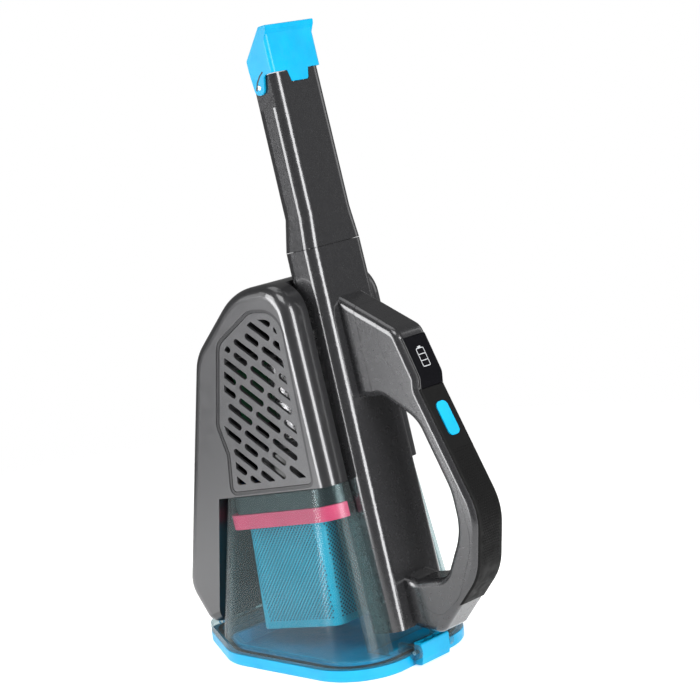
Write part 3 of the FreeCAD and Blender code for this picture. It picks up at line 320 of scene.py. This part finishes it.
def add_walls(mesh, rings):
    """Joins each ring of points to the next with four-sided faces."""
    for lower, upper in zip(rings, rings[1:]):
        for step in range(len(lower)):
            after = (step + 1) % len(lower)
            mesh.faces.new((lower[step], lower[after], upper[after], upper[step]))


def add_dome(mesh, place, normal, radius, height, sides=8):
    """A small round bump that stands on a surface."""
    turn = normal.to_track_quat("Z", "Y").to_matrix()
    rings = []
    for lift, share in ((-0.2, 1.0), (0.45, 0.86), (0.85, 0.5)):
        ring = []
        for step in range(sides):
            angle = 2 * math.pi * step / sides
            out_x = math.cos(angle) * radius * share
            out_y = math.sin(angle) * radius * share
            ring.append(mesh.verts.new(place + turn @ Vector((out_x, out_y, height * lift))))
        rings.append(ring)
    add_walls(mesh, rings)
    tip = mesh.verts.new(place + normal * height)
    for step in range(sides):
        mesh.faces.new((rings[-1][step], rings[-1][(step + 1) % sides], tip))
    mesh.faces.new(list(reversed(rings[0])))


def add_bar(mesh, corner, wide, tall, out):
    """A thin raised bar from one corner along two edges, standing out by the third."""
    spots = [corner, corner + wide, corner + wide + tall, corner + tall]
    low = [mesh.verts.new(spot - out) for spot in spots]
    high = [mesh.verts.new(spot + out) for spot in spots]
    mesh.faces.new(high)
    mesh.faces.new(list(reversed(low)))
    add_walls(mesh, (low, high))


# How far across, in millimetres, a ray starts that looks for the back of the handle.
BEHIND_HANDLE = 230


def make_grip_dots():
    """Rows of raised dots on the back of the grip, smaller towards the ends of the field."""
    mesh = bmesh.new()
    foot, top, half_width = 52, 132, 9.4
    pitch, columns = 2.1, 5
    row_gap = pitch / 1.15
    full_radius, least_share, fade_length, height = 0.62, 0.45, 14, 0.42
    least_facing = 0.3
    for row in range(int((top - foot) / row_gap)):
        along = foot + row * row_gap
        from_end = min(along - foot, top - along) / fade_length
        radius = full_radius * min(1.0, least_share + from_end)
        for column in range(-columns, columns + 1):
            side = column * pitch + pitch / 2 * (row % 2)
            if abs(side) > half_width:
                continue
            place, normal = surface_hit("grip_overmold", leaned(BEHIND_HANDLE, side, along), -ACROSS)
            if place is not None and normal.dot(ACROSS) > least_facing:
                add_dome(mesh, place, normal, radius * MM, height * MM)
    finish_piece("grip_dots", mesh, soft_black, "main")


def rounded_frame(half_wide, half_tall, radius, steps=6):
    """Points round a rectangle with rounded corners."""
    points = []
    corners = ((1, 1, 0), (-1, 1, 90), (-1, -1, 180), (1, -1, 270))
    for across, up, start in corners:
        for step in range(steps + 1):
            angle = math.radians(start + 90 * step / steps)
            points.append((
                across * (half_wide - radius) + radius * math.cos(angle),
                up * (half_tall - radius) + radius * math.sin(angle),
            ))
    return points


def make_battery_icon():
    """A plain battery-level mark on the gauge window: a rounded frame, two bars and a nub."""
    window_middle = 191
    place, normal = surface_hit("gauge_window", leaned(BEHIND_HANDLE, 0, window_middle), -ACROSS)
    up = (ALONG - normal * ALONG.dot(normal)).normalized()
    right = up.cross(normal).normalized()
    half_wide, half_tall, line, rise = 3.8 * MM, 6.6 * MM, 0.55 * MM, 0.06 * MM
    outer_radius, inner_radius = 1.2 * MM, 0.7 * MM
    nub_wide, nub_tall = 3 * MM, 1.1 * MM
    mesh = bmesh.new()
    outer = rounded_frame(half_wide, half_tall, outer_radius)
    inner = rounded_frame(half_wide - line, half_tall - line, inner_radius)
    loops = []
    for points, lift in ((outer, -rise), (outer, rise), (inner, rise), (inner, -rise)):
        loops.append([mesh.verts.new(place + right * x + up * y + normal * lift) for x, y in points])
    add_walls(mesh, loops + loops[:1])
    bar = right * 2 * (half_wide - line)
    for level in (-1, 1):
        corner = place - right * (half_wide - line) + up * (level * half_tall / 3 - line / 2)
        add_bar(mesh, corner, bar, up * line, normal * rise)
    nub = right * nub_wide
    add_bar(mesh, place - nub / 2 + up * half_tall, nub, up * nub_tall, normal * rise)
    bmesh.ops.recalc_face_normals(mesh, faces=mesh.faces)
    finish_piece("battery_icon", mesh, icon_grey, "main", smooth=False)


def add_tuft(mesh, base, tip, sides=5):
    """A tuft of bristles, thickest part of the way up and thin at its tip."""
    rings = []
    for share, radius in ((0.0, 0.42), (0.6, 0.5), (1.0, 0.3)):
        middle = base.lerp(tip, share)
        ring = []
        for step in range(sides):
            angle = 2 * math.pi * step / sides
            out = ACROSS * math.cos(angle) + SIDE * math.sin(angle)
            ring.append(mesh.verts.new(middle + out * radius * MM))
        rings.append(ring)
    add_walls(mesh, rings)
    mesh.faces.new(rings[-1])
    mesh.faces.new(list(reversed(rings[0])))


def make_bristles():
    """Three staggered rows of bristle tufts in the flip brush, each tuft leaning a little."""
    mesh = bmesh.new()
    rows, first_row, row_gap = 3, 83.2, 1.7
    columns, pitch, stagger = 27, 1.45, 0.7
    foot, length, lean = 411, 10.6, 0.05
    across_turn, side_turn = 2.4, 1.7
    for row in range(rows):
        for column in range(columns):
            side = (column - columns // 2) * pitch + stagger * (row % 2)
            base = leaned(first_row + row * row_gap, side, foot)
            lean_across = ACROSS * math.sin(column * across_turn + row) * lean
            lean_side = SIDE * math.cos(column * side_turn) * lean
            tip = base + (ALONG + (lean_across + lean_side)) * length * MM
            add_tuft(mesh, base, tip)
    piece = finish_piece("bristle_tufts", mesh, bristle_fibre, "brush")
    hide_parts("brush_bristles")


def squarish(angle, power=4):
    """How far a rounded square of half width 1 reaches at an angle."""
    return (abs(math.cos(angle)) ** power + abs(math.sin(angle)) ** power) ** (-1 / power)


def make_pleats():
    """The filter's cloth, folded into upright pleats round its core."""
    mesh = bmesh.new()
    foot, top, pleats = 32, 106, 44
    corners = 2 * pleats
    inner_fold, inside_screen = 0.8, 0.97
    rings = []
    for along, middle, half_across, half_side in ((foot, -1, 32, 23), (top, 12, 29, 29)):
        ring = []
        for step in range(corners):
            angle = 2 * math.pi * step / corners
            fold = 1.0 if step % 2 else inner_fold
            reach = fold * squarish(angle) * inside_screen
            across = middle + half_across * reach * math.cos(angle)
            side = half_side * reach * math.sin(angle)
            ring.append(mesh.verts.new(leaned(across, side, along)))
        rings.append(ring)
    add_walls(mesh, rings)
    mesh.faces.new(list(reversed(rings[0])))
    mesh.faces.new(rings[1])
    piece = finish_piece("pleats", mesh, filter_cloth, "bowl", smooth=False)
    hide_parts("pleated_filter")


def make_screen_holes():
    """Low dark rounds of painted shade for the holes in the filter screen's walls, on a grid turned by
    45 degrees.
    """
    mesh = bmesh.new()
    pitch, radius, rise = 3.2, 0.74, 0.1
    foot, rows, columns = 27, 47, 10
    beyond_wall, least_facing = 70, 0.9
    for out, middle in ((SIDE, 4), (-SIDE, 4), (ACROSS, 0), (-ACROSS, 0)):
        level = ALONG.cross(out)
        for row in range(rows):
            row_middle = leaned(middle, 0, foot + row * pitch / 2)
            for column in range(-columns, columns + 1):
                shift = column * pitch + pitch / 2 * (row % 2)
                start = row_middle + (level * shift + out * beyond_wall) * MM
                place, normal = surface_hit("filter_screen", start, -out)
                if place is not None and normal.dot(out) > least_facing:
                    add_dome(mesh, place, normal, radius * MM, rise * MM)
    finish_piece("screen_holes", mesh, hole_shade, "bowl", smooth=False)


def make_ear_slots():
    """The bent slot in each ear of the flip brush, as dark bars of painted shade that barely stand
    out.
    """
    mesh = bmesh.new()
    path = ((71.2, 385.5), (73.4, 390.5), (77.0, 394.5), (80.2, 396.5))
    slot_width, rise, beyond_ear = 1.1, 0.05, 40
    for direction in (-1, 1):
        places = []
        for across, along in path:
            start = leaned(across, direction * beyond_ear, along)
            places.append(surface_hit("brush_cover", start, -SIDE * direction)[0])
        for low, high in zip(places, places[1:]):
            if low is None or high is None:
                continue
            run = high - low
            width = run.cross(SIDE).normalized() * slot_width * MM
            add_bar(mesh, low - width / 2, width, run, SIDE * rise * MM)
    bmesh.ops.recalc_face_normals(mesh, faces=mesh.faces)
    # The bars take the dark rubber material as painted shade for the slot.
    finish_piece("ear_slots", mesh, rubber, "brush", smooth=False)


make_ear_slots()
make_grip_dots()
make_battery_icon()
make_bristles()
make_pleats()
make_screen_holes()


# ---- stage ----------------------------------------------------------------------------

CAMERA_AZIMUTH = math.radians(43.77)
CAMERA_HEIGHT_ANGLE = math.radians(10.61)
CAMERA_ROLL = math.radians(6.5)
CAMERA_DISTANCE = 1.48
CAMERA_TARGET = Vector((0, 0, 0.2))
LENS = 110.6
SHIFT_X, SHIFT_Y = 0.0634, 0.0237
WORLD_LIGHT = 0.14
BACKDROP_LIGHT = 1.0
FLOOR_GLOW = 0.55
FLOOR_FADE_START, FLOOR_FADE_END = 0.3, 0.75
WHITE = (1, 1, 1, 1)


def make_camera():
    """The camera, a little above the vacuum, rolled so that its top leans to the left."""
    turn, rise = CAMERA_AZIMUTH, CAMERA_HEIGHT_ANGLE
    right = Vector((math.cos(turn), math.sin(turn), 0))
    level_ahead = Vector((-math.sin(turn), math.cos(turn), 0))
    ahead = level_ahead * math.cos(rise) - Vector((0, 0, 1)) * math.sin(rise)
    up = right.cross(ahead)
    rolled_right = right * math.cos(CAMERA_ROLL) - up * math.sin(CAMERA_ROLL)
    rolled_up = right * math.sin(CAMERA_ROLL) + up * math.cos(CAMERA_ROLL)
    data = bpy.data.cameras.new("camera")
    data.lens = LENS
    data.shift_x = SHIFT_X
    data.shift_y = SHIFT_Y
    camera = bpy.data.objects.new("camera", data)
    turned = Matrix((rolled_right, rolled_up, -ahead)).transposed()
    camera.matrix_world = Matrix.Translation(CAMERA_TARGET - ahead * CAMERA_DISTANCE) @ turned.to_4x4()
    bpy.context.scene.collection.objects.link(camera)
    bpy.context.scene.camera = camera


def add_softbox(name, azimuth, height, distance, wide, tall, power):
    """An area light that looks at the middle of the vacuum. Azimuth 0 is +X, 90 is +Y."""
    data = bpy.data.lights.new(name, "AREA")
    data.shape = "RECTANGLE"
    data.size = wide
    data.size_y = tall
    data.energy = power
    light = bpy.data.objects.new(name, data)
    angle = math.radians(azimuth)
    light.location = Vector((math.cos(angle) * distance, math.sin(angle) * distance, height))
    light.rotation_euler = (CAMERA_TARGET - light.location).to_track_quat("-Z", "Y").to_euler()
    bpy.context.scene.collection.objects.link(light)


def make_lights():
    """Two bright strips that draw lines down the paint, two dim panels, a key and a top light."""
    add_softbox("strip_side", azimuth=-117, height=0.35, distance=1.5, wide=0.5, tall=1.7, power=30)
    add_softbox("strip_front", azimuth=-8, height=0.35, distance=1.5, wide=0.6, tall=1.7, power=42)
    add_softbox("panel_side", azimuth=-142, height=0.9, distance=1.7, wide=0.5, tall=0.9, power=3)
    add_softbox("panel_back", azimuth=66, height=0.8, distance=1.8, wide=0.6, tall=1.0, power=3)
    add_softbox("key", azimuth=-62, height=1.7, distance=1.0, wide=0.8, tall=0.8, power=13)
    add_softbox("top", azimuth=150, height=1.9, distance=0.4, wide=1.0, tall=1.0, power=6)


def make_world():
    """A white backdrop for the camera that lights the vacuum only dimly."""
    world = bpy.data.worlds.new("studio")
    world.use_nodes = True
    background = world.node_tree.nodes["Background"]
    background.inputs["Color"].default_value = WHITE
    seen = add_node(world, "ShaderNodeLightPath").outputs["Is Camera Ray"]
    strength = spread(world, seen, 0, 1, WORLD_LIGHT, BACKDROP_LIGHT)
    world.node_tree.links.new(strength, background.inputs["Strength"])
    bpy.context.scene.world = world


def floor_material():
    """A pale floor that thins out into the backdrop away from the vacuum."""
    material = new_material(
        "floor_pale", (0.9, 0.9, 0.9), 0.8, Emission_Color=WHITE, Emission_Strength=FLOOR_GLOW,
    )
    away = add_node(material, "ShaderNodeVectorMath", Vector=object_point(material))
    away.operation = "LENGTH"
    share = spread(material, away.outputs["Value"], FLOOR_FADE_START, FLOOR_FADE_END)
    through = add_node(material, "ShaderNodeBsdfTransparent")
    mix_surface(material, share, shader_of(material).outputs[0], through.outputs[0])
    return material


def make_floor():
    """A flat disc that the vacuum stands on."""
    mesh = bmesh.new()
    bmesh.ops.create_circle(mesh, cap_ends=True, segments=64, radius=1)
    data = bpy.data.meshes.new("floor")
    mesh.to_mesh(data)
    mesh.free()
    data.materials.append(floor_material())
    floor = bpy.data.objects.new("floor", data)
    bpy.context.scene.collection.objects.link(floor)


make_camera()
make_lights()
make_world()
make_floor()
bpy.context.scene.view_settings.view_transform = "Standard"

bpy.context.view_layer.update()
